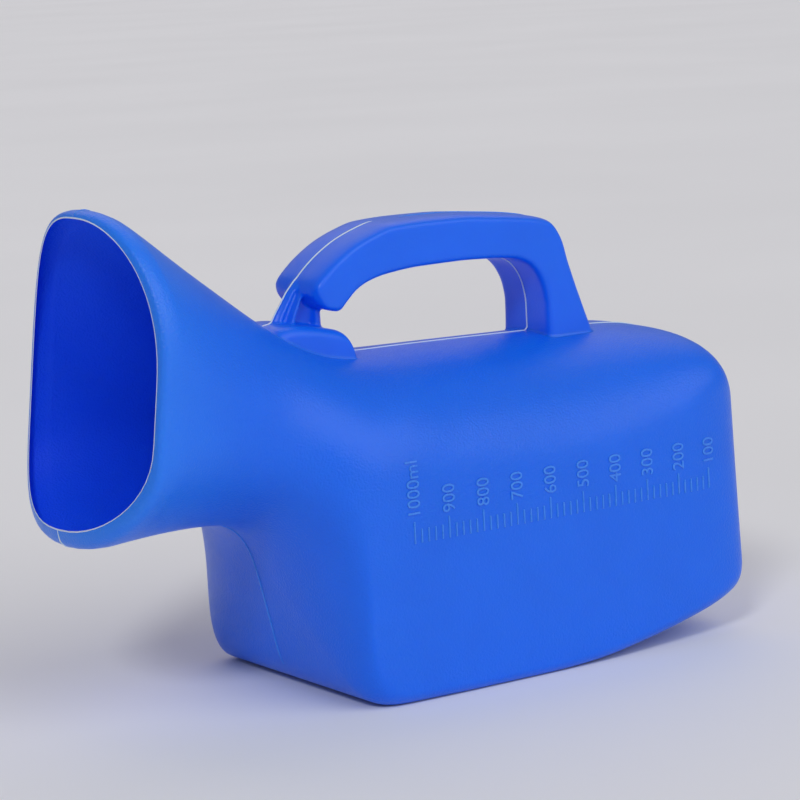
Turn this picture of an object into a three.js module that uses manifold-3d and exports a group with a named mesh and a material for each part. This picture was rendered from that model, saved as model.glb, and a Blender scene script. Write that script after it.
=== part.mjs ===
// A one-litre urine bottle, blow moulded in one piece: a tank that lies on its flat base, a wide
// funnel neck with a rolled mouth lip, and a carrying handle bridging the tank's top.
// Millimetres, +Z up. The bottle's length runs along X with the mouth at -X, and the plane Y = 0 is
// the mould's parting plane. The origin is under the middle of the bottle, on the surface it rests on.
// The moulding is divided into named zones, which keep a hairline gap to each other.

import * as THREE from 'three';
import Module from 'manifold-3d';

const wasm = await Module();
wasm.setup();

// Driving dimensions.
const bottleLength = 220.5;
const tankLength = 148.5;
const wall = 1.6;
const seamGap = 0.3;

// Lengths along the bottle are counted from the foot of the tank's front wall, towards the rear.
const frontWallX = bottleLength / 2 - tankLength;

// Ring sampling: segments on each stretch of half a ring.
const baseSegments = 2;
const baseCornerSegments = 6;
const sideSegments = 1;
const crownSegments = 7;
const ridgeSegments = 1;

// Sections of the moulding, from the mouth to the rear wall. Each is a closed ring in a plane that
// holds the Y direction, from its foot point to its top point on the parting plane. The crown is the
// rounding from the side up to the top ridge, the base is the rounding from the side under to the
// foot: run is across (as a share of the half width), rise is along the ring, power is how square
// the rounding is. Sweep sets the ring's sides back from its foot and top.
const sections = [
  // top x, z, foot x, z, half width, crown run, rise, base run, rise, power, sweep
  [-60.3, 148.6, -72.0, 59.7, 37.6, 0.97, 46, 0.97, 27, 2.2, 9.0],
  [-59.2, 149.8, -71.4, 56.6, 39.1, 0.97, 45, 0.97, 27, 2.2, 8.5],
  [-56.8, 150.3, -68.9, 54.4, 40.1, 0.97, 44, 0.97, 28, 2.1, 7.8],
  [-53.0, 149.0, -65.0, 54.0, 40.0, 0.97, 43, 0.97, 30, 2.1, 6.9],
  [-48.4, 146.2, -57.0, 54.2, 39.3, 0.97, 41, 0.97, 31, 2.0, 5.2],
  [-41.0, 140.4, -48.0, 54.6, 38.3, 0.97, 41, 0.97, 32, 2.0, 3.2],
  [-30.0, 131.6, -36.0, 54.8, 36.9, 0.97, 39, 0.97, 31, 2.0, 1.5],
  [-19.0, 123.0, -24.5, 54.3, 36.2, 0.97, 37, 0.96, 28, 2.0, 0.6],
  [-11.0, 116.7, -17.5, 53.0, 36.6, 0.97, 36, 0.95, 26, 2.0, 0.2],
  [-4.0, 111.4, -11.7, 49.0, 38.4, 0.97, 35, 0.92, 26, 2.0, 0],
  [1.0, 107.9, -8.3, 43.0, 40.6, 0.97, 35, 0.84, 28, 2.0, 0],
  [6.0, 104.9, -6.4, 36.0, 42.8, 0.96, 35, 0.74, 30, 2.0, 0],
  [11.0, 102.6, -4.8, 29.0, 44.6, 0.96, 34, 0.66, 31, 2.0, 0],
  [16.0, 101.0, -3.2, 22.0, 45.9, 0.96, 34, 0.53, 30, 2.0, 0],
  [21.0, 99.9, -1.6, 15.0, 46.7, 0.96, 34, 0.38, 24, 2.0, 0],
  [26.5, 99.2, -0.2, 8.0, 47, 0.96, 34, 0.26, 15, 2.1, 0],
  [32.0, 98.9, 3.2, 2.6, 47, 0.96, 34, 0.18, 8, 2.1, 0],
  [38.0, 98.8, 9.5, 0, 47, 0.97, 34, 0.12, 4.5, 2.0, 0],
  [46.0, 98.7, 20.0, 0, 47, 0.97, 34, 0.1, 4, 1.9, 0],
  [60.0, 98.4, 42.0, 0, 47, 0.97, 34, 0.08, 3.5, 1.9, 0],
  [76.0, 98.0, 68.0, 0, 47, 0.97, 34, 0.08, 3.5, 1.9, 0],
  [90.0, 97.6, 86.0, 0.8, 47, 0.97, 33, 0.08, 3.5, 1.9, 0],
  [104.0, 97.2, 104.0, 3.4, 47, 0.97, 31, 0.09, 4, 2.0, 0],
  [121.0, 96.6, 129.0, 8.6, 46.8, 0.97, 26, 0.12, 5, 2.2, 0],
  [130.5, 96.0, 138.5, 11.2, 46.0, 0.96, 21, 0.16, 6, 2.4, 0],
  [139.0, 94.4, 144.6, 13.4, 44.0, 0.94, 17, 0.2, 7, 2.5, 0],
  [145.2, 89.6, 147.7, 17.0, 39.8, 0.9, 16, 0.24, 8, 2.3, 0],
  [148.5, 81.0, 148.5, 22.5, 35.5, 0.8, 13, 0.26, 8, 2.2, 0],
];

// Zones of the moulding, each named and given as its first and last section.
const zones = [
  ['mouth_lip', 0, 3],
  ['funnel_neck', 3, 8],
  ['tank_front', 8, 18],
  ['tank_barrel', 18, 22],
  ['tank_rear_end', 22, 27],
];

const shellMaterial = new THREE.MeshStandardMaterial({ color: 0x2d66dc, roughness: 0.38, metalness: 0 });
const handleMaterial = new THREE.MeshStandardMaterial({ color: 0x2f69e0, roughness: 0.36, metalness: 0 });

// ---- Rings ----

// Half of a ring's outline as (across, along) pairs, from its foot to its top.
function halfOutline(half, height, crownRun, crownRise, baseRun, baseRise, power) {
  const points = [];
  const corner = (centreY, centreS, run, rise, from, to, segments) => {
    const upOrDown = Math.sign(from + to);
    for (let i = 1; i <= segments; i++) {
      const angle = THREE.MathUtils.lerp(from, to, i / segments);
      const across = Math.cos(angle) ** (2 / power);
      const along = Math.abs(Math.sin(angle)) ** (2 / power) * upOrDown;
      points.push([centreY + run * across, centreS + rise * along]);
    }
  };
  const straight = (fromY, fromS, toY, toS, segments) => {
    for (let i = 1; i <= segments; i++) {
      const share = i / segments;
      points.push([THREE.MathUtils.lerp(fromY, toY, share), THREE.MathUtils.lerp(fromS, toS, share)]);
    }
  };
  const baseY = half * (1 - baseRun);
  const crownY = half * (1 - crownRun);
  points.push([0, 0]);
  straight(0, 0, baseY, 0, baseSegments);
  corner(baseY, baseRise, half - baseY, baseRise, -Math.PI / 2, 0, baseCornerSegments);
  straight(half, baseRise, half, height - crownRise, sideSegments);
  corner(crownY, height - crownRise, half - crownY, crownRise, 0, Math.PI / 2, crownSegments);
  straight(crownY, height, 0, height, ridgeSegments);
  return points;
}

// A closed ring: up the +Y side from the foot to the top, and down the -Y side.
function ringOf([topX, topZ, footX, footZ, half, crownRun, crownRise, baseRun, baseRise, power, sweep]) {
  const height = Math.hypot(topX - footX, topZ - footZ);
  const outline = halfOutline(half, height, crownRun, crownRise, baseRun, baseRise, power);
  const mirrored = outline.slice(1, -1).reverse().map(([across, along]) => [-across, along]);
  return [...outline, ...mirrored].map(([across, along]) => {
    const share = along / height;
    const x = THREE.MathUtils.lerp(footX, topX, share) + sweep * (across / half) ** 2;
    const z = THREE.MathUtils.lerp(footZ, topZ, share);
    return new THREE.Vector3(frontWallX + x, across, z);
  });
}

// Outward normals of a grid of rings, from the differences to the neighbouring points.
function gridNormals(rings) {
  const last = rings.length - 1;
  return rings.map((ring, i) => ring.map((_, j) => {
    const count = ring.length;
    const along = rings[Math.min(i + 1, last)][j].clone().sub(rings[Math.max(i - 1, 0)][j]);
    const around = ring[(j + 1) % count].clone().sub(ring[(j + count - 1) % count]);
    return around.cross(along).normalize();
  }));
}

const outerRings = sections.map(ringOf);
const outerNormals = gridNormals(outerRings);
outerNormals.at(-1).forEach((normal) => normal.set(1, 0, 0));

function offsetRings(distance) {
  return outerRings.map((ring, i) => ring.map((point, j) => (
    point.clone().addScaledVector(outerNormals[i][j], distance)
  )));
}

// ---- Closed solids from rings ----

function geometryFrom(points, triangles) {
  const geometry = new THREE.BufferGeometry();
  geometry.setAttribute('position', new THREE.Float32BufferAttribute(points.flatMap((p) => p.toArray()), 3));
  geometry.setIndex(triangles.flat());
  geometry.computeVertexNormals();
  return geometry;
}

// Joins a row of rings into triangles. A reversed row faces inwards.
function stripTriangles(rowStarts, count, reversed) {
  const triangles = [];
  for (let row = 0; row < rowStarts.length - 1; row++) {
    for (let j = 0; j < count; j++) {
      const a = rowStarts[row] + j;
      const b = rowStarts[row] + ((j + 1) % count);
      const c = rowStarts[row + 1] + ((j + 1) % count);
      const d = rowStarts[row + 1] + j;
      const pair = [[a, b, c], [a, c, d]];
      triangles.push(...(reversed ? pair.map(([p, q, r]) => [p, r, q]) : pair));
    }
  }
  return triangles;
}

function fanTriangles(start, count, centre, reversed) {
  return Array.from({ length: count }, (_, j) => {
    const a = start + j;
    const b = start + ((j + 1) % count);
    return reversed ? [b, a, centre] : [a, b, centre];
  });
}

function centreOf(ring) {
  return ring.reduce((sum, point) => sum.add(point), new THREE.Vector3()).divideScalar(ring.length);
}

// Moves an end ring back towards its neighbour by half of the gap between two zones.
function trimmedRing(ring, neighbour) {
  return ring.map((point, j) => {
    const inwards = neighbour[j].clone().sub(point).normalize();
    return point.clone().addScaledVector(inwards, seamGap / 2);
  });
}

// The rings from one section to another, trimmed where they meet the next zone.
function zoneRings(rings, first, last) {
  const rows = rings.slice(first, last + 1);
  if (first > 0) rows[0] = trimmedRing(rows[0], rings[first + 1]);
  if (last < rings.length - 1) rows[rows.length - 1] = trimmedRing(rings[last], rings[last - 1]);
  return rows;
}

// One zone of the hollow moulding: an outer skin, an inner skin and the rims that join them, or at
// the rear the two closed walls.
function zoneGeometry(first, last) {
  const outer = zoneRings(outerRings, first, last);
  const inner = zoneRings(offsetRings(-wall), first, last);
  const rows = outer.length;
  const count = outer[0].length;
  const points = [...outer.flat(), ...inner.flat()];
  const outerStarts = outer.map((_, i) => i * count);
  const innerStarts = inner.map((_, i) => (rows + i) * count);
  const triangles = [
    ...stripTriangles(outerStarts, count, false),
    ...stripTriangles(innerStarts, count, true),
    ...stripTriangles([innerStarts[0], outerStarts[0]], count, false),
  ];
  if (last < outerRings.length - 1) {
    triangles.push(...stripTriangles([outerStarts[rows - 1], innerStarts[rows - 1]], count, false));
  } else {
    points.push(centreOf(outer[rows - 1]), centreOf(inner[rows - 1]));
    triangles.push(...fanTriangles(outerStarts[rows - 1], count, points.length - 2, false));
    triangles.push(...fanTriangles(innerStarts[rows - 1], count, points.length - 1, true));
  }
  return geometryFrom(points, triangles);
}

// ---- Booleans ----

// The rings' geometries share their vertices already, so they become solids as they are.
function toSolid(geometry) {
  return new wasm.Manifold(new wasm.Mesh({
    numProp: 3,
    vertProperties: new Float32Array(geometry.attributes.position.array),
    triVerts: new Uint32Array(geometry.index.array),
  }));
}

function fromSolid(solid) {
  const mesh = solid.getMesh();
  const geometry = new THREE.BufferGeometry();
  geometry.setAttribute('position', new THREE.BufferAttribute(new Float32Array(mesh.vertProperties), 3));
  geometry.setIndex(new THREE.BufferAttribute(new Uint32Array(mesh.triVerts), 1));
  geometry.computeVertexNormals();
  return geometry;
}

// Rings closed by a fan at each end, as a solid.
function closeRings(rings) {
  const count = rings[0].length;
  const starts = rings.map((_, i) => i * count);
  const points = [...rings.flat(), centreOf(rings[0]), centreOf(rings[rings.length - 1])];
  const triangles = [
    ...stripTriangles(starts, count, false),
    ...fanTriangles(0, count, points.length - 2, true),
    ...fanTriangles(starts[rings.length - 1], count, points.length - 1, false),
  ];
  const solid = toSolid(geometryFrom(points, triangles));
  return solid.volume() > 0 ? solid : toSolid(geometryFrom(points, triangles.map(([p, q, r]) => [p, r, q])));
}

// ---- Handle ----

// The handle's pieces are solid rings, with the same eleven columns as the moulding's sections. The
// grip's and the rear leg's rings go from the finger side to the outer side.
const gripSections = [
  [11.6, 119.2, 13.9, 115.6, 10.4, 0.9, 1.8, 0.4, 1.2, 2.4, 0],
  [12.4, 121.9, 16.6, 113.8, 12.3, 0.95, 2.6, 0.3, 2.4, 3.2, 0],
  [16.5, 126.2, 20.2, 113.0, 12.5, 0.97, 2.9, 0.25, 3, 3.4, 0],
  [21.5, 129.9, 23.4, 115.6, 12.5, 0.97, 2.9, 0.25, 3, 3.4, 0],
  [27.0, 133.0, 26.6, 118.4, 12.5, 0.97, 2.9, 0.25, 3, 3.4, 0],
  [33.5, 135.5, 31.0, 120.6, 12.5, 0.97, 2.9, 0.25, 3, 3.4, 0],
  [41.0, 137.4, 38.0, 122.2, 12.5, 0.97, 2.9, 0.25, 3, 3.4, 0],
  [51.0, 137.8, 50.0, 123.2, 12.5, 0.97, 2.9, 0.25, 3, 3.4, 0],
  [65.0, 137.6, 64.0, 123.3, 12.5, 0.97, 2.9, 0.25, 3, 3.4, 0],
  [79.0, 136.4, 76.0, 122.8, 12.5, 0.97, 2.9, 0.25, 3, 3.4, 0],
  [91.2, 134.9, 85.0, 121.9, 12.5, 0.97, 2.9, 0.25, 3, 3.4, 0],
  [99.4, 132.9, 90.4, 119.8, 12.5, 0.97, 2.9, 0.25, 3, 3.4, 0],
  [104.0, 127.6, 93.9, 116.0, 12.5, 0.97, 3.1, 0.25, 3, 3.0, 0],
  [106.9, 119.6, 96.0, 111.0, 12.5, 0.9, 3.5, 0.25, 3, 2.6, 0],
  [110.3, 110.0, 96.7, 106.0, 12.5, 0.9, 3.5, 0.25, 3, 2.6, 0],
  [114.0, 100.0, 96.6, 100.0, 12.7, 0.8, 3.8, 0.25, 3, 2.4, 0],
  [117.3, 91.0, 96.3, 92.0, 13.0, 0.8, 3.8, 0.25, 3, 2.4, 0],
];
const gripEndSection = 10;

// The narrow web between the grip's front end and the saddle, from its foot up into the grip. Its
// outer side follows the ridge.
const postSections = [
  [3.4, 110.8, 18.6, 108.3, 6, 0.5, 2, 0.4, 2, 2, 0],
  [5.6, 114.2, 18.7, 112.0, 6, 0.5, 2, 0.4, 2, 2, 0],
  [9.4, 119.8, 18.6, 116.0, 6, 0.5, 2, 0.4, 2, 2, 0],
  [12.6, 122.9, 16.4, 119.4, 6, 0.5, 2, 0.4, 2, 2, 0],
];

// The pad that the post stands on, where the neck meets the tank, from its front to its rear.
const saddleSections = [
  [-3.0, 107.6, -3.0, 92, 11.5, 0.3, 3, 0.2, 2, 2, 0],
  [-0.5, 109.9, -0.5, 92, 12.5, 0.3, 3, 0.2, 2, 2, 0],
  [3.4, 110.4, 3.4, 92, 13, 0.3, 3, 0.2, 2, 2, 0],
  [18.6, 107.9, 18.6, 92, 13, 0.3, 3, 0.2, 2, 2, 0],
  [22.0, 106.3, 22.0, 92, 13, 0.3, 3, 0.2, 2, 2, 0],
  [24.2, 103.0, 24.2, 92, 13, 0.3, 3, 0.2, 2, 2, 0],
  [25.2, 98.0, 25.2, 92, 13, 0.3, 3, 0.2, 1.5, 2, 0],
];

function handlePieces() {
  const bottle = closeRings(offsetRings(seamGap));
  const gripRings = gripSections.map(ringOf);
  const grip = closeRings(zoneRings(gripRings, 0, gripEndSection));
  const rearLeg = closeRings(zoneRings(gripRings, gripEndSection, gripSections.length - 1));
  const post = closeRings(postSections.map(ringOf));
  const notch = closeRings(grown(postSections).map(ringOf));
  const saddle = closeRings(saddleSections.map(ringOf));
  return {
    handle_saddle: saddle.subtract(bottle),
    handle_post: post.subtract(bottle).subtract(saddle.translate([0, 0, seamGap])),
    handle_grip: grip.subtract(notch).subtract(notch.translate([seamGap, 0, seamGap])),
    handle_rear_leg: rearLeg.subtract(bottle),
  };
}

// The post's sections made a hairline larger all round, to cut its notch in the grip.
function grown(rows) {
  const clear = 2 * seamGap;
  return rows.map(([topX, topZ, footX, footZ, half, ...rest]) => (
    [topX - clear, topZ + clear, footX + clear, footZ - clear, half + clear, ...rest]
  ));
}

// ---- Assembly ----

const group = new THREE.Group();

function addMesh(name, geometry, material) {
  const mesh = new THREE.Mesh(geometry, material);
  mesh.name = name;
  group.add(mesh);
}

for (const [name, first, last] of zones) {
  addMesh(name, zoneGeometry(first, last), shellMaterial);
}
for (const [name, solid] of Object.entries(handlePieces())) {
  addMesh(name, fromSolid(solid), handleMaterial);
}

export default group;
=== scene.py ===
"""Looks of a one-litre urine bottle in blue polythene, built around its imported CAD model.

The tables and the named sizes are in millimetres and counted as in the CAD: x runs along the bottle from
the foot of the tank's front wall towards the rear, the plane y = 0 is the mould's parting plane, and z is
the height above the surface the bottle rests on. placed() turns them into metres in the CAD's frame.
"""

from math import pi, radians

import bmesh
import bpy
import numpy as np
from mathutils import Matrix, Vector
from mathutils.bvhtree import BVHTree


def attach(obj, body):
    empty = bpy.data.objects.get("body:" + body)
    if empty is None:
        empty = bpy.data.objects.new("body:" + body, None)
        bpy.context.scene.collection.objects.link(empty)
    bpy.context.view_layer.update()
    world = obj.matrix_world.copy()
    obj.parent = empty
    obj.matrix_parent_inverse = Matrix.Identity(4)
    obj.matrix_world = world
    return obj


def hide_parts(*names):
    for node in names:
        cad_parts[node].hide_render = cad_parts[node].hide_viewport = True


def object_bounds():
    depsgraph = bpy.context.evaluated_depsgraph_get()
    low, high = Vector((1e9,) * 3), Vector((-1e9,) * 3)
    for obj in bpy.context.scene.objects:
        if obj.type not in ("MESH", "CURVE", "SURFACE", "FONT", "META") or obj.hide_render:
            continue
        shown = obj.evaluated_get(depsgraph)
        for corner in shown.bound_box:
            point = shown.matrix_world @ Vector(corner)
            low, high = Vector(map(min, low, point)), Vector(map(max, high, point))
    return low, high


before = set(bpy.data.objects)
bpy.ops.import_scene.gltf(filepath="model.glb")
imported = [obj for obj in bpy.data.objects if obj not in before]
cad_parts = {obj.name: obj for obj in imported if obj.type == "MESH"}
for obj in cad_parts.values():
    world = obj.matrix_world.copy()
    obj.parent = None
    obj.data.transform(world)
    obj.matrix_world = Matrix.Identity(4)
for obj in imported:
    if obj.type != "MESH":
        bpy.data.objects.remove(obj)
cad_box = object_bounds()

MM = 0.001
TANK_LENGTH = 148.5
FRONT_WALL = cad_box[1].x / MM - TANK_LENGTH

# ---- Shape of the moulding ----

# Sections from the mouth to the rear wall, each a closed ring from a foot point to a top point on the
# parting plane. The crown rounds the side over to the top ridge and the base rounds it under to the foot.
# Run is across, as a share of the half width, and rise is along the ring. Power is how square the rounding
# is, and sweep sets the ring's sides back from its foot and top.
SHELL_SECTIONS = [
    # top x, z, foot x, z, half width, crown run, rise, base run, rise, power, sweep
    (-60.3, 148.6, -72.0, 59.7, 37.6, 0.97, 46, 0.97, 27, 2.2, 9.0),
    (-59.2, 149.8, -71.4, 56.6, 39.1, 0.97, 45, 0.97, 27, 2.2, 8.5),
    (-56.8, 150.3, -68.9, 54.4, 40.1, 0.97, 44, 0.97, 28, 2.1, 7.8),
    (-53.0, 149.0, -65.0, 54.0, 40.0, 0.97, 43, 0.97, 30, 2.1, 6.9),
    (-48.4, 146.2, -57.0, 54.2, 39.3, 0.97, 41, 0.97, 31, 2.0, 5.2),
    (-41.0, 140.4, -48.0, 54.6, 38.3, 0.97, 41, 0.97, 32, 2.0, 3.2),
    (-30.0, 131.6, -36.0, 54.8, 36.9, 0.97, 39, 0.97, 31, 2.0, 1.5),
    (-19.0, 123.0, -24.5, 54.3, 36.2, 0.97, 37, 0.96, 28, 2.0, 0.6),
    (-11.0, 116.7, -17.5, 53.0, 36.6, 0.97, 36, 0.95, 26, 2.0, 0.2),
    (-4.0, 111.4, -11.7, 49.0, 38.4, 0.97, 35, 0.92, 26, 2.0, 0),
    (1.0, 107.9, -8.3, 43.0, 40.6, 0.97, 35, 0.84, 28, 2.0, 0),
    (6.0, 104.9, -6.4, 36.0, 42.8, 0.96, 35, 0.74, 30, 2.0, 0),
    (11.0, 102.6, -4.8, 29.0, 44.6, 0.96, 34, 0.66, 31, 2.0, 0),
    (16.0, 101.0, -3.2, 22.0, 45.9, 0.96, 34, 0.53, 30, 2.0, 0),
    (21.0, 99.9, -1.6, 15.0, 46.7, 0.96, 34, 0.38, 24, 2.0, 0),
    (26.5, 99.2, -0.2, 8.0, 47, 0.96, 34, 0.26, 15, 2.1, 0),
    (32.0, 98.9, 3.2, 2.6, 47, 0.96, 34, 0.18, 8, 2.1, 0),
    (38.0, 98.8, 9.5, 0, 47, 0.97, 34, 0.12, 4.5, 2.0, 0),
    (46.0, 98.7, 20.0, 0, 47, 0.97, 34, 0.1, 4, 1.9, 0),
    (60.0, 98.4, 42.0, 0, 47, 0.97, 34, 0.08, 3.5, 1.9, 0),
    (76.0, 98.0, 68.0, 0, 47, 0.97, 34, 0.08, 3.5, 1.9, 0),
    (90.0, 97.6, 86.0, 0.8, 47, 0.97, 33, 0.08, 3.5, 1.9, 0),
    (104.0, 97.2, 104.0, 3.4, 47, 0.97, 31, 0.09, 4, 2.0, 0),
    (121.0, 96.6, 129.0, 8.6, 46.8, 0.97, 26, 0.12, 5, 2.2, 0),
    (130.5, 96.0, 138.5, 11.2, 46.0, 0.96, 21, 0.16, 6, 2.4, 0),
    (139.0, 94.4, 144.6, 13.4, 44.0, 0.94, 17, 0.2, 7, 2.5, 0),
    (145.2, 89.6, 147.7, 17.0, 39.8, 0.9, 16, 0.24, 8, 2.3, 0),
    (148.5, 81.0, 148.5, 22.5, 35.5, 0.8, 13, 0.26, 8, 2.2, 0),
]

# The grip and the rear leg as one bar. Its foot is on the finger side and its top on the outer side.
GRIP_SECTIONS = [
    (11.6, 119.2, 13.9, 115.6, 10.4, 0.9, 1.8, 0.4, 1.2, 2.4, 0),
    (12.4, 121.9, 16.6, 113.8, 12.3, 0.95, 2.6, 0.3, 2.4, 3.2, 0),
    (16.5, 126.2, 20.2, 113.0, 12.5, 0.97, 2.9, 0.25, 3, 3.4, 0),
    (21.5, 129.9, 23.4, 115.6, 12.5, 0.97, 2.9, 0.25, 3, 3.4, 0),
    (27.0, 133.0, 26.6, 118.4, 12.5, 0.97, 2.9, 0.25, 3, 3.4, 0),
    (33.5, 135.5, 31.0, 120.6, 12.5, 0.97, 2.9, 0.25, 3, 3.4, 0),
    (41.0, 137.4, 38.0, 122.2, 12.5, 0.97, 2.9, 0.25, 3, 3.4, 0),
    (51.0, 137.8, 50.0, 123.2, 12.5, 0.97, 2.9, 0.25, 3, 3.4, 0),
    (65.0, 137.6, 64.0, 123.3, 12.5, 0.97, 2.9, 0.25, 3, 3.4, 0),
    (79.0, 136.4, 76.0, 122.8, 12.5, 0.97, 2.9, 0.25, 3, 3.4, 0),
    (91.2, 134.9, 85.0, 121.9, 12.5, 0.97, 2.9, 0.25, 3, 3.4, 0),
    (99.4, 132.9, 90.4, 119.8, 12.5, 0.97, 2.9, 0.25, 3, 3.4, 0),
    (104.0, 127.6, 93.9, 116.0, 12.5, 0.97, 3.1, 0.25, 3, 3.0, 0),
    (106.9, 119.6, 96.0, 111.0, 12.5, 0.9, 3.5, 0.25, 3, 2.6, 0),
    (110.3, 110.0, 96.7, 106.0, 12.5, 0.9, 3.5, 0.25, 3, 2.6, 0),
    (114.0, 100.0, 96.6, 100.0, 12.7, 0.8, 3.8, 0.25, 3, 2.4, 0),
    (117.3, 91.0, 96.3, 92.0, 13.0, 0.8, 3.8, 0.25, 3, 2.4, 0),
]

# The pad under the post, where the neck meets the tank, from its front to its rear.
SADDLE_SECTIONS = [
    (-3.0, 107.6, -3.0, 92, 11.5, 0.3, 3, 0.2, 2, 2, 0),
    (-0.5, 109.9, -0.5, 92, 12.5, 0.3, 3, 0.2, 2, 2, 0),
    (3.4, 110.4, 3.4, 92, 13, 0.3, 3, 0.2, 2, 2, 0),
    (18.6, 107.9, 18.6, 92, 13, 0.3, 3, 0.2, 2, 2, 0),
    (22.0, 106.3, 22.0, 92, 13, 0.3, 3, 0.2, 2, 2, 0),
    (24.2, 103.0, 24.2, 92, 13, 0.3, 3, 0.2, 2, 2, 0),
    (25.2, 98.0, 25.2, 92, 13, 0.3, 3, 0.2, 1.5, 2, 0),
]

# The post at four heights, as height, front x and rear x. Its front is a thin fin on the parting plane.
POST_LEVELS = [
    (103.0, 2.6, 18.9),
    (110.8, 3.4, 18.8),
    (112.8, 4.6, 18.7),
    (115.2, 6.3, 18.7),
    (119.3, 9.2, 18.7),
    (122.6, 12.4, 18.7),
]

# Half of the post seen from above: share of its depth from the front edge, and half thickness. The three
# high places are upright ribs.
POST_PROFILE = [
    (0.0, 0.5),
    (0.08, 1.4),
    (0.13, 2.7),
    (0.18, 1.6),
    (0.25, 1.8),
    (0.3, 4.5),
    (0.36, 4.7),
    (0.4, 2.2),
    (0.78, 2.2),
    (0.83, 4.6),
    (0.9, 4.8),
    (0.95, 3.9),
    (1.0, 3.4),
]

# The wall gets thinner over the lip's depth, down to its cut edge.
WALL = 1.6
LIP_EDGE_WALL = 0.45
LIP_EDGE_DEPTH = 12.0

# The rows of rings along a body, and how far from the ends they keep exactly to the tables.
ROW_SPACING = 1.0
KEPT_END = 10.0
EVENING_PASSES = 30

# Points on each stretch of half a ring, from the foot to the top.
BASE_POINTS = 6
BASE_CORNER_POINTS = 14
SIDE_POINTS = 14
CROWN_POINTS = 24
RIDGE_POINTS = 2

# ---- Meshes ----


def placed(points):
    """Table points in millimetres as metres in the CAD's frame."""
    return (np.asarray(points, float) + (FRONT_WALL, 0, 0)) * MM


def monotone_slopes(positions, values):
    """Slopes through the values that never overshoot them, so a flat stretch stays flat."""
    steps = np.diff(values, axis=0) / np.diff(positions)[:, None]
    before, after = steps[:-1], steps[1:]
    turning = before * after <= 0
    inner = np.where(turning, 0, 2 * before * after / np.where(turning, 1, before + after))
    return np.vstack([steps[:1], inner, steps[-1:]])


def refined(sections, spacing):
    """Evenly spaced sections, on smooth curves through the given ones."""
    values = np.array(sections, float)
    top_steps = np.linalg.norm(np.diff(values[:, 0:2], axis=0), axis=1)
    foot_steps = np.linalg.norm(np.diff(values[:, 2:4], axis=0), axis=1)
    positions = np.concatenate([[0], np.cumsum((top_steps + foot_steps) / 2)])
    slopes = monotone_slopes(positions, values)
    places = np.linspace(0, positions[-1], 1 + round(positions[-1] / spacing))
    before = np.searchsorted(positions[1:-1], places, side="right")
    lengths = np.diff(positions)[before]
    shares = ((places - positions[before]) / lengths)[:, None]
    square, cube = shares**2, shares**3
    return (
        (2 * cube - 3 * square + 1) * values[before]
        + (cube - 2 * square + shares) * lengths[:, None] * slopes[before]
        + (3 * square - 2 * cube) * values[before + 1]
        + (cube - square) * lengths[:, None] * slopes[before + 1]
    )


def evened(rows, passes):
    """Rows with the unevenness along them smoothed out, except near the first and the last."""
    distance = np.minimum(np.arange(len(rows)), np.arange(len(rows))[::-1]) * ROW_SPACING
    weight = np.clip((distance - KEPT_END) / KEPT_END, 0, 1)[:, None]
    for _ in range(passes):
        between = (np.roll(rows, 1, axis=0) + np.roll(rows, -1, axis=0)) / 2
        rows = rows + weight * (between - rows) / 2
    return rows


def straight(start, end, count):
    shares = np.arange(1, count + 1)[:, None] / count
    return np.array(start) * (1 - shares) + np.array(end) * shares


def rounding(centre, run, rise, start, end, power, count):
    """Quarter of a superellipse from one angle to another, without its first point."""
    angles = np.linspace(start, end, count + 1)[1:]
    upright = np.sin(angles)
    across = centre[0] + run * np.abs(np.cos(angles)) ** (2 / power)
    along = centre[1] + rise * np.sign(upright) * np.abs(upright) ** (2 / power)
    return np.column_stack([across, along])


def ring_of(section, hollow=0):
    """A section's closed ring: up the +Y side from its foot to its top, and down the -Y side.

    Hollow is how deep the middle of the foot side is drawn in, as a share of the ring's height.
    """
    top_x, top_z, foot_x, foot_z, half, crown_run, crown_rise, base_run, base_rise, power, sweep = section
    height = np.hypot(top_x - foot_x, top_z - foot_z)
    base = (half * (1 - base_run), base_rise)
    crown = (half * (1 - crown_run), height - crown_rise)
    outline = np.vstack(
        [
            (0, 0),
            straight((0, 0), (base[0], 0), BASE_POINTS),
            rounding(base, half - base[0], base_rise, -pi / 2, 0, power, BASE_CORNER_POINTS),
            straight((half, base_rise), (half, crown[1]), SIDE_POINTS),
            rounding(crown, half - crown[0], crown_rise, 0, pi / 2, power, CROWN_POINTS),
            straight((crown[0], height), (0, height), RIDGE_POINTS),
        ]
    )
    outline = np.vstack([outline, outline[-2:0:-1] * (-1, 1)])
    across, share = outline[:, 0], outline[:, 1] / height
    share = share + hollow * (1 - (across / half) ** 2) * (1 - share) ** 4
    x = foot_x + (top_x - foot_x) * share + sweep * (across / half) ** 2
    z = foot_z + (top_z - foot_z) * share
    return np.column_stack([x, across, z])


TOP_POINT = BASE_POINTS + BASE_CORNER_POINTS + SIDE_POINTS + CROWN_POINTS + RIDGE_POINTS


def rings_of(sections, passes=0, hollow=0):
    """The rings of evenly spaced sections through the given ones."""
    rows = evened(refined(sections, ROW_SPACING), passes)
    return np.array([ring_of(row, hollow) for row in rows])


def grid_normals(rings):
    """Outward unit normals of a grid of rings, from the differences to the neighbouring points."""
    along = np.gradient(rings, axis=0)
    around = np.roll(rings, -1, axis=1) - np.roll(rings, 1, axis=1)
    normals = np.cross(around, along)
    return normals / np.linalg.norm(normals, axis=2, keepdims=True)


def strip_faces(starts, count):
    """Quads that join a row of rings, given the number of each ring's first point."""
    return [
        (a + j, a + (j + 1) % count, b + (j + 1) % count, b + j)
        for a, b in zip(starts, starts[1:])
        for j in range(count)
    ]


def link_new(name, data):
    """A new object in the scene."""
    made = bpy.data.objects.new(name, data)
    bpy.context.scene.collection.objects.link(made)
    return made


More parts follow.
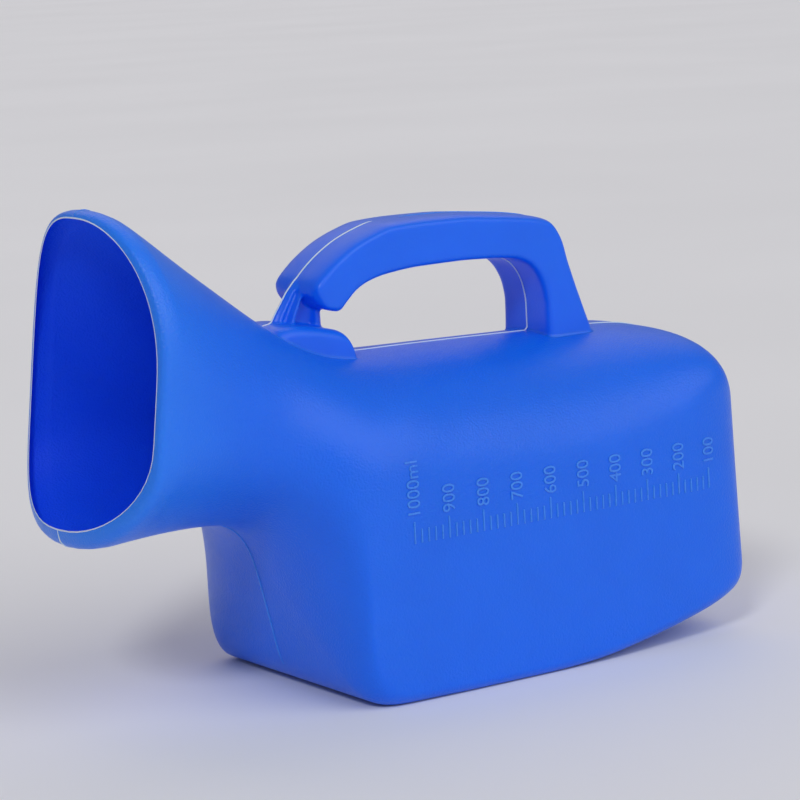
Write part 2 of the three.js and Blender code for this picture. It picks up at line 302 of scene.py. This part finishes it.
def mesh_object(name, points, faces, material=None):
    """A smooth-shaded object from points in metres, its faces turned outwards."""
    mesh = bpy.data.meshes.new(name)
    mesh.from_pydata(np.asarray(points).tolist(), [], faces)
    turned = bmesh.new()
    turned.from_mesh(mesh)
    bmesh.ops.recalc_face_normals(turned, faces=turned.faces)
    turned.to_mesh(mesh)
    turned.free()
    mesh.shade_smooth()
    if material:
        mesh.materials.append(material)
    return link_new(name, mesh)


def closed_loft(name, rings, material=None):
    """Rings joined into a closed body, with a fan over each end."""
    rows, count = rings.shape[:2]
    starts = [row * count for row in range(rows)]
    points = np.vstack([rings.reshape(-1, 3), rings[0].mean(axis=0), rings[-1].mean(axis=0)])
    faces = strip_faces(starts, count)
    for start, centre in ((0, len(points) - 2), (starts[-1], len(points) - 1)):
        faces += [(start + j, start + (j + 1) % count, centre) for j in range(count)]
    return mesh_object(name, placed(points), faces, material)


def evaluated_mesh(piece):
    """A copy of a piece's mesh with its modifiers applied."""
    bpy.context.view_layer.update()
    depsgraph = bpy.context.evaluated_depsgraph_get()
    return bpy.data.meshes.new_from_object(piece.evaluated_get(depsgraph))


def mesh_from(curve):
    """The mesh of a curve or a text."""
    drawn = link_new(curve.name, curve)
    mesh = evaluated_mesh(drawn)
    bpy.data.objects.remove(drawn)
    return mesh


def add_to_bottle(piece):
    """Makes a finished piece part of the one-piece moulding."""
    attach(piece, "root")
    return piece


# ---- Materials ----

BLUE = (0.003, 0.139, 0.87)
# Lighter blue towards the mouth: partly the thinner wall, partly painted light on the lip's roll and the
# funnel's underside.
PAINTED_LIGHT_LIP_BLUE = (0.016, 0.2, 0.96)
# Darker, deeper blue for the inside of the mouth and tank: painted shade inside the hollow.
SHADED_INNER_BLUE = (0.006, 0.085, 0.92)
# Near-white for the mouth's cut edge and the brighter stretches of flash: partly the pale scraped plastic,
# partly painted highlight.
SCRAPED_AND_HIGHLIT_BLUE = (0.66, 0.82, 1.0)
# Lighter blue for the raised scale and some parting-line beads: painted highlight on their raised strokes.
HIGHLIT_RAISED_BLUE = (0.055, 0.245, 0.99)

# How far behind the mouth the lip's lighter colour begins to fade, and where it has gone; it is partly the
# thinner wall and partly painted light.
PAINTED_LIGHT_START = 5
PAINTED_LIGHT_LENGTH = 55

# How wide the features of the plastic are, from its slow drift of colour to the mould's grain.
DRIFT_SIZE = 22
WAVE_SIZE = 26
PATCH_SIZE = 3.5
PEBBLE_SIZE = 0.65

COLOUR_DRIFT = 0.03
ROUGHNESS_DRIFT = 0.03
WAVE_DEPTH = 0.05

# How deep the mould's grain is on most of the moulding, on its handle and on its raised lines.
PEBBLE_DEPTH = 0.2
HANDLE_PEBBLE_DEPTH = 0.05
RAISED_PEBBLE_DEPTH = 0.012

# Noise keeps mostly to this part of its range from 0 to 1.
NOISE_RANGE = (0.3, 0.7)


class Nodes:
    """Adds nodes to one material and links them."""

    def __init__(self, material):
        material.use_nodes = True
        self.tree = material.node_tree
        self.shader = next(n for n in self.tree.nodes if n.type == "BSDF_PRINCIPLED")
        self.place = self.add("ShaderNodeTexCoord").outputs["Object"]

    def add(self, kind, **values):
        node = self.tree.nodes.new(kind)
        for name, value in values.items():
            socket = node.inputs.get(name.replace("_", " ").title())
            if socket is not None:
                socket.default_value = value
            else:
                setattr(node, name, value)
        return node

    def link(self, output, node, socket):
        self.tree.links.new(output, node.inputs[socket])

    def noise(self, feature, detail=2.0):
        """Noise whose features are about this many millimetres across."""
        node = self.add("ShaderNodeTexNoise", scale=1 / (feature * MM), detail=detail)
        self.link(self.place, node, "Vector")
        return node.outputs["Fac"]

    def ranged(self, value, low, high):
        """A number between two, by a noise value."""
        start, end = NOISE_RANGE
        node = self.add("ShaderNodeMapRange", from_min=start, from_max=end, to_min=low, to_max=high)
        self.link(value, node, "Value")
        return node.outputs["Result"]

    def blended(self, value, low, high):
        """A colour between two, by a noise value."""
        node = self.add("ShaderNodeValToRGB")
        for element, position, colour in zip(node.color_ramp.elements, NOISE_RANGE, (low, high)):
            element.position = position
            element.color = (*colour, 1)
        self.link(value, node, "Fac")
        return node.outputs["Color"]

    def bumped(self, value, depth, under=None):
        """Bump of this depth in millimetres, on top of another."""
        node = self.add("ShaderNodeBump", strength=1.0, distance=depth * MM)
        self.link(value, node, "Height")
        if under is not None:
            self.link(under, node, "Normal")
        return node.outputs["Normal"]


def moulded_plastic(name, colour, roughness, pebble_depth=PEBBLE_DEPTH, shine=0.35):
    """Satin polythene: slow colour drift, waves from blowing, and the mould's fine pebble grain."""
    material = bpy.data.materials.new(name)
    nodes = Nodes(material)
    darker = tuple(channel * (1 - COLOUR_DRIFT) for channel in colour)
    lighter = tuple(min(1, channel * (1 + COLOUR_DRIFT)) for channel in colour)
    drift = nodes.noise(DRIFT_SIZE, detail=3)
    nodes.link(nodes.blended(drift, darker, lighter), nodes.shader, "Base Color")
    smoothest, roughest = roughness - ROUGHNESS_DRIFT, roughness + ROUGHNESS_DRIFT
    patches = nodes.noise(PATCH_SIZE, detail=4)
    nodes.link(nodes.ranged(patches, smoothest, roughest), nodes.shader, "Roughness")
    waves = nodes.bumped(nodes.noise(WAVE_SIZE, detail=1), WAVE_DEPTH)
    pebbles = nodes.bumped(nodes.noise(PEBBLE_SIZE, detail=2), pebble_depth, under=waves)
    nodes.link(pebbles, nodes.shader, "Normal")
    nodes.shader.inputs["IOR"].default_value = 1.5
    nodes.shader.inputs["Specular IOR Level"].default_value = shine
    nodes.shader.inputs["Subsurface Weight"].default_value = 0.35
    nodes.shader.inputs["Subsurface Radius"].default_value = (0.1, 0.4, 1.0)
    nodes.shader.inputs["Subsurface Scale"].default_value = 4 * MM
    return material


def lighten_lip(material):
    """Blends the plastic's colour into a lighter one towards the mouth: partly the thinner wall near its
    edge, partly painted light for the highlight on the lip's roll and the bounce light under the funnel.
    """
    nodes = Nodes(material)
    colour = nodes.shader.inputs["Base Color"].links[0].from_socket
    axes = nodes.add("ShaderNodeSeparateXYZ")
    nodes.link(nodes.place, axes, "Vector")
    share = nodes.add("ShaderNodeMapRange", interpolation_type="SMOOTHSTEP", to_min=1, to_max=0)
    share.inputs["From Min"].default_value = cad_box[0].x + PAINTED_LIGHT_START * MM
    share.inputs["From Max"].default_value = cad_box[0].x + PAINTED_LIGHT_LENGTH * MM
    nodes.link(axes.outputs["X"], share, "Value")
    mix = nodes.add("ShaderNodeMix", data_type="RGBA")
    nodes.link(share.outputs["Result"], mix, "Factor")
    usual, light = (socket for socket in mix.inputs if socket.type == "RGBA")
    nodes.tree.links.new(colour, usual)
    light.default_value = (*PAINTED_LIGHT_LIP_BLUE, 1)
    mixed = next(socket for socket in mix.outputs if socket.type == "RGBA")
    nodes.link(mixed, nodes.shader, "Base Color")


shell_plastic = moulded_plastic("blue_polythene", BLUE, 0.33, shine=0.4)
# The shell's colour grows lighter towards the mouth, partly as painted light.
lighten_lip(shell_plastic)
handle_plastic = moulded_plastic("handle_polythene", BLUE, 0.35, HANDLE_PEBBLE_DEPTH, shine=0.4)
# The inside's darker blue is painted shade.
shaded_inner_plastic = moulded_plastic("shaded_inner_polythene", SHADED_INNER_BLUE, 0.5, shine=0.15)
# The scraped plastic's near-white is partly painted highlight.
scraped_and_highlit_plastic = moulded_plastic("scraped_and_highlit_polythene", SCRAPED_AND_HIGHLIT_BLUE, 0.5)
# The raised plastic's lighter blue is painted highlight.
highlit_raised_plastic = moulded_plastic("highlit_raised_polythene", HIGHLIT_RAISED_BLUE, 0.28, RAISED_PEBBLE_DEPTH)

# ---- Bottle shell ----

# Where the rows of the flat end wall lie, as shares of the way out from its middle.
END_WALL_SHARES = (0.97, 0.85, 0.6, 0.3)

# The shell's material slots after the first, which is its outer skin's.
INSIDE = 1
CUT_EDGE = 2

# The bend above which the shell's shading shows an edge.
SHELL_EDGE_ANGLE = radians(50)


def bottle_shell():
    """The whole hollow moulding except its handle: an outer and an inner skin, joined at the mouth."""
    outer = rings_of(SHELL_SECTIONS, EVENING_PASSES)
    rows, count = outer.shape[:2]
    growth = np.clip(np.arange(rows) * ROW_SPACING / LIP_EDGE_DEPTH, 0, 1)[:, None, None]
    inner = outer - wall_directions(outer, growth) * (LIP_EDGE_WALL + (WALL - LIP_EDGE_WALL) * growth)
    inner_end = end_wall(inner[-1])
    skins = np.concatenate([inner_end[::-1], inner[::-1], outer, end_wall(outer[-1])])
    shell = closed_loft("bottle_shell", skins, shell_plastic)
    # The inner skin gets the darker plastic, painted shade inside the hollow.
    shell.data.materials.append(shaded_inner_plastic)
    shell.data.materials.append(scraped_and_highlit_plastic)
    edge_row = len(inner_end) + rows - 1
    for face in shell.data.polygons:
        row = face.index // count
        if row < edge_row:
            face.material_index = INSIDE
        elif row == edge_row:
            face.material_index = CUT_EDGE
    shell.data.set_sharp_from_angle(angle=SHELL_EDGE_ANGLE)
    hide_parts("mouth_lip", "funnel_neck", "tank_front", "tank_barrel", "tank_rear_end")
    return add_to_bottle(shell), outer


def wall_directions(rings, growth):
    """The way out through the wall: square to the skin, but across the cut at the mouth's edge."""
    normals = grid_normals(rings)
    normals[-1] = (1, 0, 0)
    upright = rings[0, TOP_POINT] - rings[0, 0]
    facing = np.cross((0, 1, 0), upright / np.linalg.norm(upright))
    normals -= (1 - growth) * (normals @ facing)[..., None] * facing
    return normals / np.linalg.norm(normals, axis=2, keepdims=True)


def end_wall(ring):
    """Rings that shrink towards a ring's middle, so the flat end wall has rows of its own."""
    centre = ring.mean(axis=0)
    return np.array([centre + (ring - centre) * share for share in END_WALL_SHARES])


# ---- Handle ----

VOXEL = 0.4
SMOOTHING_STEPS = 3
GRIP_HOLLOW = 0.03

# How deep the handle's foot goes into the shell's wall, how far it flares where it meets the shell, and
# how far sideways the handle's skin has to face to flare.
HIDDEN_DEPTH = 1.0
FLARE = 0.6
FLARING_SLOPE = 0.3


def post_rings():
    """The ribbed post as rings seen from above, from its foot to inside the grip."""
    profile = np.array(POST_PROFILE)
    share = np.concatenate([profile[:, 0], profile[::-1, 0]])
    side = np.concatenate([profile[:, 1], -profile[::-1, 1]])
    return np.array(
        [
            np.column_stack([front + (rear - front) * share, side, np.full(len(share), height)])
            for height, front, rear in POST_LEVELS
        ]
    )


def handle(outer, shell_surface):
    """Grip, rear leg, post and saddle grown into one body, and set on the shell with a small fillet."""
    lofts = [
        closed_loft("grip", rings_of(GRIP_SECTIONS, hollow=GRIP_HOLLOW)),
        closed_loft("saddle", rings_of(SADDLE_SECTIONS)),
        closed_loft("post", post_rings()),
    ]
    piece = lofts[0]
    with bpy.context.temp_override(active_object=piece, selected_editable_objects=lofts):
        bpy.ops.object.join()
    piece.name = "handle"
    remesh_evenly(piece)
    core = closed_loft("core", outer - grid_normals(outer) * HIDDEN_DEPTH)
    opened = piece.modifiers.new("opened", "BOOLEAN")
    opened.operation = "DIFFERENCE"
    opened.solver = "MANIFOLD"
    opened.object = core
    remesh_evenly(piece)
    rounded = piece.modifiers.new("rounded", "SMOOTH")
    rounded.factor = 0.5
    rounded.iterations = SMOOTHING_STEPS
    piece.data = evaluated_mesh(piece)
    piece.modifiers.clear()
    bpy.data.objects.remove(core)
    flare_foot(piece.data, shell_surface)
    piece.data.shade_smooth()
    piece.data.materials.clear()
    piece.data.materials.append(handle_plastic)
    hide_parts("handle_grip", "handle_rear_leg", "handle_post", "handle_saddle")
    return add_to_bottle(piece)


def remesh_evenly(piece):
    """Gives a piece one closed skin of small, even faces."""
    even = piece.modifiers.new("even", "REMESH")
    even.mode = "VOXEL"
    even.voxel_size = VOXEL * MM


def flare_foot(mesh, shell_surface):
    """Widens the mesh where it meets the shell, as a fillet does."""
    flare = FLARE * MM
    for vertex in mesh.vertices:
        surface = surface_below(shell_surface, vertex.co)
        outwards = Vector((vertex.normal.x, vertex.normal.y, 0))
        if surface is None or outwards.length < FLARING_SLOPE:
            continue
        reach = flare - max(vertex.co.z - surface.z, 0)
        if reach > 0:
            spread = flare - max(flare**2 - reach**2, 0) ** 0.5
            vertex.co += outwards.normalized() * spread


def surface_below(surface, point):
    """The shell's topmost surface, straight below or above a point."""
    far_above = Vector((point.x, point.y, 1))
    return surface.ray_cast(far_above, Vector((0, 0, -1)))[0]


# ---- Parting line ----

# The parting line is a bead of flash: its radius, and the spacing of the points along it.
FLASH_RADIUS = 0.28
FLASH_STEP = 1.2

# The bead thins to this share of its radius at its two ends, and widens again by so much at each step.
TIP_SHARE = 0.4
TIP_STEP = 0.2

# How far off its guide the moulding's surface is looked for.
PROBE = 2.0

# Where one line ends and the next begins: x along the bottle, and z up it.
NECK_LINE_END = -5
FRONT_LINE_END = 42
LEG_LINE_FOOT = 99
LIP_LINE_END = -65
GAP_LINE_START = 27
GAP_LINE_END = 95
GAP_LEG_FOOT = 97.5
REAR_LINE_START = 115
REAR_LINE_END = TANK_LENGTH - 6
BASE_LINE_START = 90
BASE_LINE_FOOT = 1.5
WALL_LINE_END = 10
WALL_LINE_FOOT = 6.5

# Where the outer parting line leaves the neck and climbs over the saddle and the post to the grip.
SADDLE_TO_GRIP = [
    (-2.5, 110.6),
    (0.2, 110.3),
    (2.4, 110.6),
    (3.7, 111.4),
    (4.6, 112.8),
    (6.3, 115.2),
    (9.2, 119.3),
    (12.2, 122.4),
]

# Where the inner parting line goes down the back of the post and over the saddle to the tank.
POST_TO_TANK = [
    (18.9, 112.2),
    (18.9, 108.6),
    (21.4, 106.8),
    (23.4, 104.6),
    (24.8, 101.4),
    (26.0, 99.4),
]


def top_line(rings):
    """The x and z of each ring's top."""
    return rings[:, TOP_POINT][:, [0, 2]]


def foot_line(rings):
    """The x and z of each ring's foot."""
    return rings[:, 0][:, [0, 2]]


def neck_guide(rings):
    """From the lip over the top of the neck to the saddle."""
    tops = top_line(rings)
    return np.vstack([tops[tops[:, 0] < NECK_LINE_END], SADDLE_TO_GRIP[:1]])


def grip_front_guide():
    """Over the saddle, up the post's fin and along the front half of the grip."""
    outer_side = np.array(GRIP_SECTIONS)[2:, 0:2]
    return np.vstack([SADDLE_TO_GRIP, outer_side[outer_side[:, 0] < FRONT_LINE_END]])


def grip_rear_guide():
    """Along the rear half of the grip and down the rear leg."""
    outer_side = np.array(GRIP_SECTIONS)[:, 0:2]
    x, z = outer_side.T
    return outer_side[(x >= FRONT_LINE_END) & (z > LEG_LINE_FOOT)]


def tank_rear_guide(rings):
    """Along the tank's top from the rear leg to the end it stands on."""
    tops = top_line(rings)
    return tops[(tops[:, 0] > REAR_LINE_START) & (tops[:, 0] < REAR_LINE_END)]


def base_guide(rings):
    """From the end it stands on, down and forwards to the flat base."""
    feet = foot_line(rings)
    x, z = feet.T
    return feet[(x > BASE_LINE_START) & (z > BASE_LINE_FOOT)][::-1]


def lip_guide(rings):
    """Across the underside of the lip."""
    feet = foot_line(rings)
    return feet[feet[:, 0] < LIP_LINE_END]


def front_wall_guide(rings):
    """Under the neck and down the front wall."""
    feet = foot_line(rings)
    x, z = feet.T
    return feet[(x > LIP_LINE_END) & (x < WALL_LINE_END) & (z > WALL_LINE_FOOT)]


def finger_gap_guide(rings):
    """Round the finger gap: down the post, along the tank's top, and up the rear leg to the grip."""
    tops = top_line(rings)
    finger_side = np.array(GRIP_SECTIONS)[2:, 2:4]
    above_tank = finger_side[:, 1] > GAP_LEG_FOOT
    under_gap = (tops[:, 0] > GAP_LINE_START) & (tops[:, 0] < GAP_LINE_END)
    return np.vstack([POST_TO_TANK, tops[under_gap], finger_side[above_tank][::-1]])


def joined_surface(*pieces):
    """The surface of some pieces together, to cast rays at."""
    joined = bmesh.new()
    for piece in pieces:
        joined.from_mesh(piece.data)
    surface = BVHTree.FromBMesh(joined)
    joined.free()
    return surface


def evenly_spaced(line, spacing):
    """The same line with points at an even spacing."""
    lengths = np.concatenate([[0], np.cumsum(np.linalg.norm(np.diff(line, axis=0), axis=1))])
    places = np.linspace(0, lengths[-1], 1 + round(lengths[-1] / spacing))
    return np.column_stack([np.interp(places, lengths, line[:, i]) for i in (0, 1)])


def on_surface(surface, line, side):
    """A line in the parting plane, moved to the surface it follows. Side (1 or -1) is where air is."""
    line = evenly_spaced(line, FLASH_STEP)
    along = np.gradient(line, axis=0)
    along /= np.linalg.norm(along, axis=1, keepdims=True)
    found = []
    for (x, z), (along_x, along_z) in zip(line, along):
        away = Vector((-along_z, 0, along_x)) * side
        start = Vector(placed((x, 0, z))) + away * PROBE * MM
        hit = surface.ray_cast(start, -away, 3 * PROBE * MM)[0]
        if hit is not None:
            found.append(hit)
    return found


def bead(name, path, material):
    """A fine half-buried bead along a path, thinner at its two ends."""
    curve = bpy.data.curves.new(name, "CURVE")
    curve.dimensions = "3D"
    curve.bevel_depth = FLASH_RADIUS * MM
    curve.bevel_resolution = 3
    curve.use_fill_caps = True
    line = curve.splines.new("POLY")
    line.points.add(len(path) - 1)
    for i, (point, place) in enumerate(zip(line.points, path)):
        point.co = (*place, 1)
        steps_from_tip = min(i, len(path) - 1 - i)
        point.radius = min(1, TIP_SHARE + TIP_STEP * steps_from_tip)
    mesh = mesh_from(curve)
    mesh.shade_smooth()
    mesh.materials.append(material)
    return add_to_bottle(link_new(name, mesh))


# ---- Volume scale ----

# Volumes in millilitres.
FULL_MARK = 1000
MARK_STEP = 100
SHORT_MARK_STEP = 20

# The marks: their places along and up the side, their lengths, and how far their sides slope in.
FIRST_MARK_X = 130.15
MARK_SPACING = 12.3
MARK_FOOT = 47.8
LONG_MARK = 6.6
SHORT_MARK = 4.3
MARK_HALF_WIDTH = 0.34
MARK_SLOPE = 0.2

# The bend above which the scale's shading shows an edge.
SCALE_EDGE_ANGLE = radians(30)

# How high the scale stands on the wall, and how deep its root is in it.
RELIEF = 0.32
ROOT = 0.12

# The numbers: where they start up the side, how tall their digits are, and how wide they are set.
NUMBER_FOOT = 55.4
DIGIT_HEIGHT = 4.3
NUMBER_SIZE = 5.4
NUMBER_STRETCH = 1.06


def mark_x(volume):
    """Where along the bottle a volume is marked."""
    return FIRST_MARK_X - (volume - MARK_STEP) / MARK_STEP * MARK_SPACING


def on_side(surface, relief):
    """Points given as x, z and height above the near side wall, in millimetres, as places in metres."""
    places = []
    for x, z, height in relief:
        well_beside = Vector(placed((x, -100, z)))
        hit, normal = surface.ray_cast(well_beside, Vector((0, 1, 0)))[:2]
        places.append(hit + normal * height * MM)
    return places


def mark(volume):
    """One line of the scale as a low bar with sloping sides: its points and faces."""
    length = LONG_MARK if volume % MARK_STEP == 0 else SHORT_MARK
    points = []
    for height, inset in ((-ROOT, 0), (RELIEF, MARK_SLOPE)):
        half = MARK_HALF_WIDTH - inset
        low, high = MARK_FOOT + inset, MARK_FOOT + length - inset
        for side, z in ((-1, low), (1, low), (1, high), (-1, high)):
            points.append((mark_x(volume) + side * half, z, height))
    sides = [(i, (i + 1) % 4, 4 + (i + 1) % 4, 4 + i) for i in range(4)]
    return points, [(3, 2, 1, 0), (4, 5, 6, 7), *sides]


def number(volume):
    """The raised number beside a long mark, reading upwards: its points and faces."""
    text = bpy.data.curves.new("number", "FONT")
    text.body = f"{volume}ml" if volume == FULL_MARK else str(volume)
    text.align_y = "CENTER"
    text.size = NUMBER_SIZE
    text.extrude = (RELIEF + ROOT) / 2
    mesh = mesh_from(text)
    along, up, out = np.array([v.co for v in mesh.vertices]).T
    up = (up - (up.min() + up.max()) / 2) * DIGIT_HEIGHT / (up.max() - up.min())
    points = np.column_stack(
        [
            mark_x(volume) - up,
            NUMBER_FOOT + along * NUMBER_STRETCH,
            out + (RELIEF - ROOT) / 2,
        ]
    )
    faces = [tuple(face.vertices) for face in mesh.polygons]
    bpy.data.meshes.remove(mesh)
    return points.tolist(), faces


def volume_scale(surface):
    """Marks and numbers moulded in low relief on the near side wall."""
    relief, faces = [], []
    volumes = range(MARK_STEP, FULL_MARK + 1, SHORT_MARK_STEP)
    shapes = [mark(volume) for volume in volumes]
    shapes += [number(volume) for volume in volumes if volume % MARK_STEP == 0]
    for points, own_faces in shapes:
        faces += [tuple(len(relief) + i for i in face) for face in own_faces]
        relief += points
    # The marks' lighter blue is painted highlight.
    piece = mesh_object("volume_scale", on_side(surface, relief), faces, highlit_raised_plastic)
    piece.data.set_sharp_from_angle(angle=SCALE_EDGE_ANGLE)
    return add_to_bottle(piece)


# ---- Camera, floor and lights ----

CAMERA_PLACE = (-0.5038, -0.7756, 0.2298)
CAMERA_TURN = radians(-33.5)
CAMERA_FALL = radians(9.05)
CAMERA_ROLL = radians(-3.02)

FLOOR_TONES = ((0.85, 0.86, 0.86), (0.88, 0.89, 0.89))
FLOOR_DRIFT_SIZE = 400


def add_camera():
    """A long lens on the near side, turned to the mouth, looking slightly down with a slight roll."""
    lens = bpy.data.cameras.new("camera")
    lens.lens = 138.3
    lens.sensor_width = 36
    camera = link_new("camera", lens)
    turn = Matrix.Rotation(CAMERA_TURN, 4, "Z")
    fall = Matrix.Rotation(pi / 2 - CAMERA_FALL, 4, "X")
    roll = Matrix.Rotation(CAMERA_ROLL, 4, "Z")
    camera.matrix_world = Matrix.Translation(CAMERA_PLACE) @ turn @ fall @ roll
    bpy.context.scene.camera = camera


def add_floor():
    """A pale floor, large enough to fill the view."""
    half = 30
    floor = mesh_object(
        "floor",
        [(-half, -half, 0), (half, -half, 0), (half, half, 0), (-half, half, 0)],
        [(0, 1, 2, 3)],
    )
    material = bpy.data.materials.new("pale_floor")
    nodes = Nodes(material)
    tone = nodes.blended(nodes.noise(FLOOR_DRIFT_SIZE), *FLOOR_TONES)
    nodes.link(tone, nodes.shader, "Base Color")
    nodes.shader.inputs["Roughness"].default_value = 0.7
    floor.data.materials.append(material)


def add_light(name, place, strength, spread, colour=(1, 1, 1)):
    """A soft, even light from a direction, as from a large softbox far away."""
    light = bpy.data.lights.new(name, "SUN")
    light.energy = strength
    light.angle = radians(spread)
    light.color = colour
    lamp = link_new(name, light)
    lamp.location = place
    lamp.rotation_euler = Vector(place).to_track_quat("Z", "Y").to_euler()


def add_lights():
    """A broad key from the front, a fill from the mouth's side, and a pinkish light from behind."""
    add_light("key", (0.5, -1.5, 1.1), 1.15, 60)
    add_light("fill", (-1.0, -0.9, 1.0), 0.85, 12)
    add_light("back", (0.35, 0.9, 1.0), 0.45, 60, colour=(1, 0.84, 0.96))


def add_daylight():
    """Even pale light from all round."""
    world = bpy.data.worlds.new("studio")
    world.use_nodes = True
    background = world.node_tree.nodes["Background"]
    background.inputs["Color"].default_value = (0.92, 0.94, 1, 1)
    background.inputs["Strength"].default_value = 0.27
    bpy.context.scene.world = world


# ---- Scene ----

shell, outer_rings = bottle_shell()
shell_surface = BVHTree.FromPolygons(
    [v.co for v in shell.data.vertices], [tuple(p.vertices) for p in shell.data.polygons]
)
whole_surface = joined_surface(shell, handle(outer_rings, shell_surface))
# The flash gets the near-white plastic on the stretches that catch the light and the lighter blue on the
# others: both are partly painted highlight.
parting_lines = [
    ("neck", neck_guide(outer_rings), 1, highlit_raised_plastic),
    ("grip_front", grip_front_guide(), 1, scraped_and_highlit_plastic),
    ("grip_rear", grip_rear_guide(), 1, highlit_raised_plastic),
    ("tank_rear", tank_rear_guide(outer_rings), 1, scraped_and_highlit_plastic),
    ("base", base_guide(outer_rings), 1, highlit_raised_plastic),
    ("lip", lip_guide(outer_rings), -1, scraped_and_highlit_plastic),
    ("front_wall", front_wall_guide(outer_rings), -1, highlit_raised_plastic),
    ("finger_gap", finger_gap_guide(outer_rings), 1, scraped_and_highlit_plastic),
]
for name, guide, side, material in parting_lines:
    bead(f"parting_line_{name}", on_surface(whole_surface, guide, side), material)
volume_scale(shell_surface)

bpy.context.scene.view_settings.view_transform = "Standard"
add_camera()
add_floor()
add_daylight()
add_lights()
